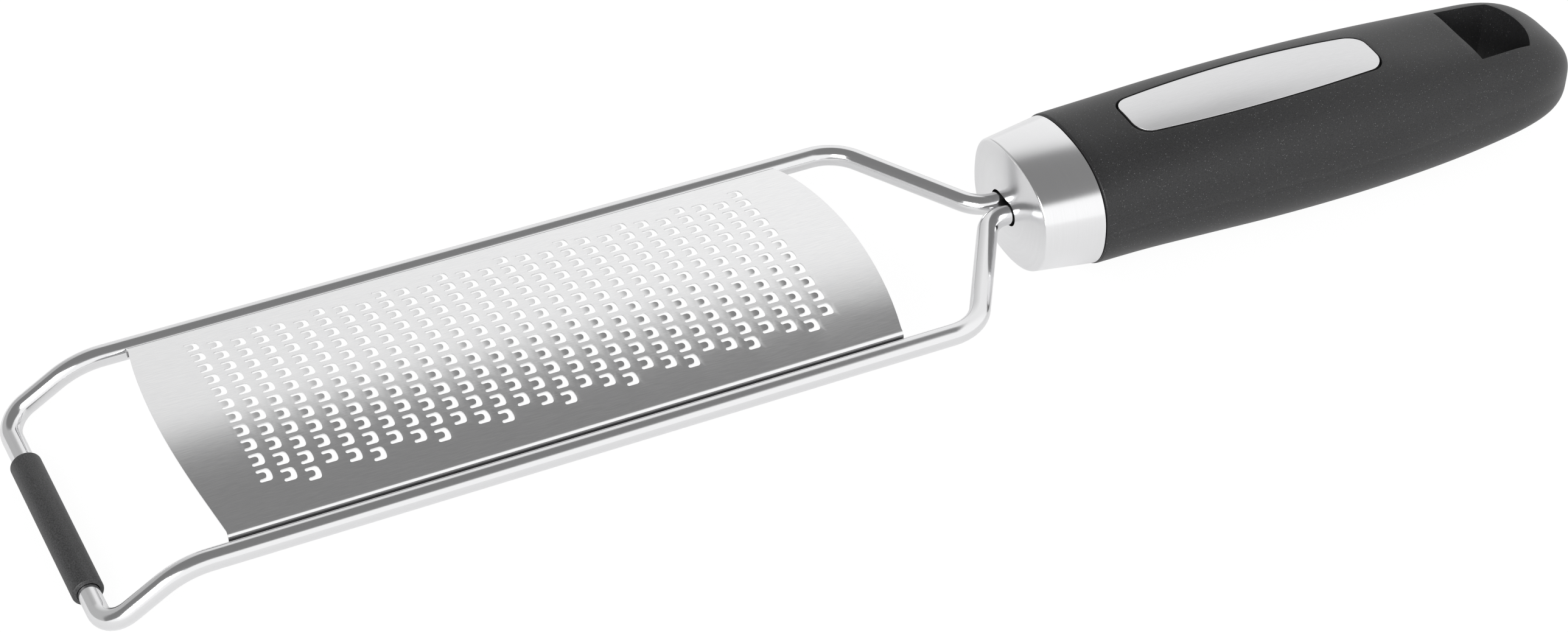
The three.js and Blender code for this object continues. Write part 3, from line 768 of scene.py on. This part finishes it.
# The bed of the plate follows the plate's outline with a narrow gap all round
PLATE_SETBACK = 12.5
PLATE_FRONT_X = grip_front_x + PLATE_SETBACK
PLATE_LENGTH = 55.5
PLATE_HALF = 6.9
PLATE_END_HALF = 5.3
PLATE_CORNER = 3.2
PLATE_GAP = 0.38
PLATE_FLOOR_Z = 11.2
PLATE_ROWS = 44


def plate_half_width(x, grow):
    """Half width of the plate's outline at x: a long lens with round-cornered blunt ends."""
    front, rear = PLATE_FRONT_X - grow, PLATE_FRONT_X + PLATE_LENGTH + grow
    t = (x - front) / (rear - front)
    side = PLATE_END_HALF + grow + (PLATE_HALF - PLATE_END_HALF) * 4 * t * (1 - t)
    from_end = min(x - front, rear - x)
    if from_end < PLATE_CORNER:
        side -= PLATE_CORNER - math.sqrt(max(0.0, PLATE_CORNER ** 2 - (PLATE_CORNER - from_end) ** 2))
    return side


def plate_stations(grow):
    """Places along the plate, close together at its ends where the corners are."""
    return [PLATE_FRONT_X - grow + (PLATE_LENGTH + 2 * grow) * (1 - math.cos(math.pi * row / PLATE_ROWS)) / 2
            for row in range(PLATE_ROWS + 1)]


bed_side = [(x, plate_half_width(x, PLATE_GAP)) for x in plate_stations(PLATE_GAP)]
bed_outline = bed_side + [(x, -y) for x, y in reversed(bed_side)]
cut(grip, upright_cutter("plate_bed", bed_outline, PLATE_FLOOR_Z, CUT_REACH))
apply_modifier(grip, "BEVEL", width=HOLE_EDGE * MM, segments=3, limit_method="ANGLE",
               angle_limit=math.radians(50), use_clamp_overlap=True)
bpy.ops.object.mode_set(mode="EDIT")
close_piece(grip, 40)

# Soft-touch plastic: charcoal and dull, with pale specks up to a fifth of a millimetre across and a fine
# moulded tooth.
SPECK_MM = 0.36
MOULD_TOOTH_MM = 0.22
MOULD_TOOTH_HEIGHT_MM = 0.06
grip_plastic, tree, shader, coords = new_material("charcoal_soft_touch_plastic")
specks = add_node(tree, "ShaderNodeTexVoronoi", inputs={"Scale": 1 / (SPECK_MM * MM)},
                  links={"Vector": (coords, "Object")})
speck_size = add_node(tree, "ShaderNodeSeparateColor", links={"Color": (specks, "Color")})
speck_rim = add_node(tree, "ShaderNodeMapRange",
                     inputs={"From Min": 0.35, "From Max": 1.0, "To Min": 0.0, "To Max": 0.3},
                     links={"Value": (speck_size, "Red")})
speck_in = add_node(tree, "ShaderNodeMath", {"operation": "SUBTRACT"},
                    links={0: (speck_rim, "Result"), 1: (specks, "Distance")})
speck_mask = add_node(tree, "ShaderNodeMapRange", inputs={"From Min": 0.0, "From Max": 0.08},
                      links={"Value": (speck_in, 0)})
grip_tooth = add_node(tree, "ShaderNodeTexNoise", inputs={"Scale": 1 / (MOULD_TOOTH_MM * MM), "Detail": 3.0},
                      links={"Vector": (coords, "Object")})
grip_ground = add_node(tree, "ShaderNodeValToRGB", links={"Fac": (grip_tooth, "Fac")},
                       stops=[(0.3, "#1e1e1f"), (0.75, "#333334")])
grip_colour = add_node(tree, "ShaderNodeMix", {"data_type": "RGBA"}, {"B": linear("#626263")},
                       {"Factor": (speck_mask, "Result"), "A": (grip_ground, "Color")})
tree.links.new(grip_colour.outputs["Result"], shader.inputs["Base Color"])
shader.inputs["Roughness"].default_value = 0.4
shader.inputs["Specular IOR Level"].default_value = 0.42
grip_bump = add_node(tree, "ShaderNodeBump",
                     inputs={"Strength": 0.2, "Distance": MOULD_TOOTH_HEIGHT_MM * MM},
                     links={"Height": (grip_tooth, "Fac")})
tree.links.new(grip_bump.outputs["Normal"], shader.inputs["Normal"])
dress(grip, grip_plastic)
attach(grip, "root")
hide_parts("grip")


# Inlay plate
# A lens-shaped stainless plate glued into its bed, crowned across and proud of the grip in its middle,
# with a chamfer all round and a bare face brushed along its length.
PLATE_PROUD = 0.2
PLATE_CROWN = 0.3
PLATE_CHAMFER = 0.35
PLATE_DEPTH = 1.2
PLATE_COLUMNS = 12


def grip_top(x, y):
    """Height of the grip's outer surface over a point of the plate."""
    share = (x - grip_front_x) / GRIP_LENGTH
    half_y, half_z, mid_z = grip_section(share)
    power = grip_squareness(share)
    return mid_z + half_z * (1 - abs(y / half_y) ** power) ** (1 / power)


clear_selection()
bpy.ops.mesh.primitive_grid_add(x_subdivisions=PLATE_ROWS, y_subdivisions=PLATE_COLUMNS, size=2.0)
plate = start_piece("inlay_plate_brushed")
work = bmesh.from_edit_mesh(plate.data)
plate_x = plate_stations(0.0)
for vertex in work.verts:
    x = plate_x[round((vertex.co.x + 1) / 2 * PLATE_ROWS)]
    y = vertex.co.y * plate_half_width(x, 0.0)
    vertex.co = place(x, y, grip_top(x, y) + PLATE_PROUD - PLATE_CROWN * (y / PLATE_HALF) ** 2)
bmesh.update_edit_mesh(plate.data)
bpy.ops.mesh.select_all(action="SELECT")
bpy.ops.mesh.extrude_region_move(TRANSFORM_OT_translate={"value": (0, 0, -PLATE_DEPTH * MM)})
close_piece(plate, 30)
apply_modifier(plate, "BEVEL", width=PLATE_CHAMFER * MM, segments=2, limit_method="ANGLE",
               angle_limit=math.radians(50))

# Brushed stainless plate: the same lines as on the blade, but duller and a little greyer.
plate_steel = brushed_steel("fine_brushed_stainless_plate", "#dededf", "#e6e6e7", 0.3, 0.38)
dress(plate, plate_steel)
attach(plate, "root")
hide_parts("inlay_plate")


# Floor
# A plain pale table top that the tool lies on. It gives the camera and the polished metal a white
# ground and keeps the tool's soft shadow.
FLOOR_SIZE = 6.0
FLOOR_CLEARANCE = 0.2
FLOOR_GLOW = 1.05
FLOOR_WHITE_SEEN = 0.9
FLOOR_WHITE_IN_METAL = 0.4
clear_selection()
bpy.ops.mesh.primitive_plane_add(size=FLOOR_SIZE, location=(0, 0, -FLOOR_CLEARANCE * MM))
floor = bpy.context.object
floor.name = "floor"

# Painted board: near white and dull.
floor_paint, tree, shader, coords = new_material("pale_table_top")
shader.inputs["Base Color"].default_value = linear("#fafafa")
shader.inputs["Roughness"].default_value = 0.9
output = tree.nodes["Material Output"]
light_path = add_node(tree, "ShaderNodeLightPath")
mirrored = add_node(tree, "ShaderNodeMath", {"operation": "MAXIMUM"},
                    links={0: (light_path, "Is Glossy Ray"), 1: (light_path, "Is Transmission Ray")})
mirrored_share = add_node(tree, "ShaderNodeMath", {"operation": "MULTIPLY"}, {1: FLOOR_WHITE_IN_METAL},
                          {0: (mirrored, 0)})
seen_share = add_node(tree, "ShaderNodeMath", {"operation": "MULTIPLY"}, {1: FLOOR_WHITE_SEEN},
                      {0: (light_path, "Is Camera Ray")})
white_share = add_node(tree, "ShaderNodeMath", {"operation": "MAXIMUM"},
                       links={0: (seen_share, 0), 1: (mirrored_share, 0)})
white = add_node(tree, "ShaderNodeEmission", inputs={"Color": (1, 1, 1, 1), "Strength": FLOOR_GLOW})
blend = add_node(tree, "ShaderNodeMixShader",
                 links={0: (white_share, 0), 1: (shader, "BSDF"), 2: (white, "Emission")})
tree.links.new(blend.outputs[0], output.inputs["Surface"])
dress(floor, floor_paint)


# Light
# A white room with a dark ceiling panel, and one soft box to the left of the camera. The walls give
# the metal its bright bands, and the panel its grey ones.
CEILING_LEVEL = 0.24
CEILING_CORNER_X = 0.1
CEILING_HALF_X = 0.44
CEILING_HALF_Y = 1.03
CEILING_EDGE = (0.78, 1.22)
FAR_WALL_LEFT, FAR_WALL_RIGHT = 0.55, 1.0
FAR_WALL_TURN = (-0.3, 0.36)
NEAR_WALL = 1.12
SIDE_BLEND = 0.2
HORIZON = 0.02
WIDEST_REACH = 9.0
KEY_PLACE = Vector((-1.1, -1.0, 0.9))
KEY_SIZE = 0.9
KEY_POWER = 16.0
world = bpy.data.worlds.new("studio")
bpy.context.scene.world = world
world.use_nodes = True
tree = world.node_tree
background = tree.nodes["Background"]
sky = add_node(tree, "ShaderNodeTexCoord")
way = add_node(tree, "ShaderNodeSeparateXYZ", links={0: (sky, "Generated")})
rise = add_node(tree, "ShaderNodeMath", {"operation": "MAXIMUM"}, {1: HORIZON}, {0: (way, "Z")})
along = add_node(tree, "ShaderNodeMath", {"operation": "DIVIDE"}, links={0: (way, "X"), 1: (rise, 0)})
across = add_node(tree, "ShaderNodeMath", {"operation": "DIVIDE"}, links={0: (way, "Y"), 1: (rise, 0)})
past_corner = add_node(tree, "ShaderNodeMapRange", {"clamp": True},
                       {"From Min": CEILING_CORNER_X,
                        "From Max": CEILING_CORNER_X + WIDEST_REACH * CEILING_HALF_X,
                        "To Min": 0.0, "To Max": WIDEST_REACH},
                       {"Value": (along, 0)})
past_side = add_node(tree, "ShaderNodeMath", {"operation": "DIVIDE"}, {1: CEILING_HALF_Y}, {0: (across, 0)})
from_middle = add_node(tree, "ShaderNodeCombineXYZ",
                       links={"X": (past_corner, "Result"), "Y": (past_side, 0)})
panel_reach = add_node(tree, "ShaderNodeVectorMath", {"operation": "LENGTH"}, links={0: (from_middle, 0)})
wall = add_node(tree, "ShaderNodeMapRange", {"clamp": True},
                {"From Min": FAR_WALL_TURN[0], "From Max": FAR_WALL_TURN[1],
                 "To Min": FAR_WALL_LEFT, "To Max": FAR_WALL_RIGHT}, {"Value": (way, "X")})
far_side = add_node(tree, "ShaderNodeMapRange", {"clamp": True},
                    {"From Min": -SIDE_BLEND, "From Max": SIDE_BLEND}, {"Value": (way, "Y")})
walls = add_node(tree, "ShaderNodeMix", {"data_type": "FLOAT"}, {"A": NEAR_WALL},
                 {"Factor": (far_side, "Result"), "B": (wall, "Result")})
open_sky = add_node(tree, "ShaderNodeMapRange", {"interpolation_type": "SMOOTHSTEP"},
                    {"From Min": CEILING_EDGE[0], "From Max": CEILING_EDGE[1]},
                    {"Value": (panel_reach, "Value")})
ceiling = add_node(tree, "ShaderNodeMix", {"data_type": "FLOAT"}, {"A": CEILING_LEVEL},
                   {"Factor": (open_sky, "Result"), "B": (walls, "Result")})
light_path = add_node(tree, "ShaderNodeLightPath")
room = add_node(tree, "ShaderNodeMix", {"data_type": "FLOAT"}, {"B": 1.0},
                {"Factor": (light_path, "Is Camera Ray"), "A": (ceiling, "Result")})
tree.links.new(room.outputs["Result"], background.inputs["Strength"])
background.inputs["Color"].default_value = (1, 1, 1, 1)

lamp = bpy.data.lights.new("key_soft_box", "AREA")
lamp.size = KEY_SIZE
lamp.energy = KEY_POWER
soft_box = bpy.data.objects.new("key_soft_box", lamp)
bpy.context.collection.objects.link(soft_box)
soft_box.location = KEY_PLACE
soft_box.rotation_euler = (-KEY_PLACE).to_track_quat("-Z", "Y").to_euler()


# Camera
# Set where the photograph was taken from: about 0.7 m away, near the blade's front end, looking down
# on the tool. Its place and turn are in the tool's own drawing, as the pieces are.
CAMERA_PLACE = place(-124.48, -483.22, 430.73)
CAMERA_RIGHT = Vector((0.89906, -0.43751, 0.01636))
CAMERA_UP = Vector((0.26533, 0.5742, 0.77453))
CAMERA_BACK = Vector((-0.34826, -0.69201, 0.63233))
PHOTO_WIDTH = 2576
PHOTO_FOCAL = 6088.5
SENSOR_WIDTH = 36.0
lens = bpy.data.cameras.new("photo_camera")
lens.sensor_fit = "HORIZONTAL"
lens.sensor_width = SENSOR_WIDTH
lens.lens = SENSOR_WIDTH * PHOTO_FOCAL / PHOTO_WIDTH
lens.clip_start = 0.01
camera = bpy.data.objects.new("photo_camera", lens)
bpy.context.collection.objects.link(camera)
camera.location = lay_down @ CAMERA_PLACE
camera_turn = lay_down.to_3x3() @ Matrix((CAMERA_RIGHT, CAMERA_UP, CAMERA_BACK)).transposed()
camera.rotation_euler = camera_turn.to_euler()
bpy.context.scene.camera = camera
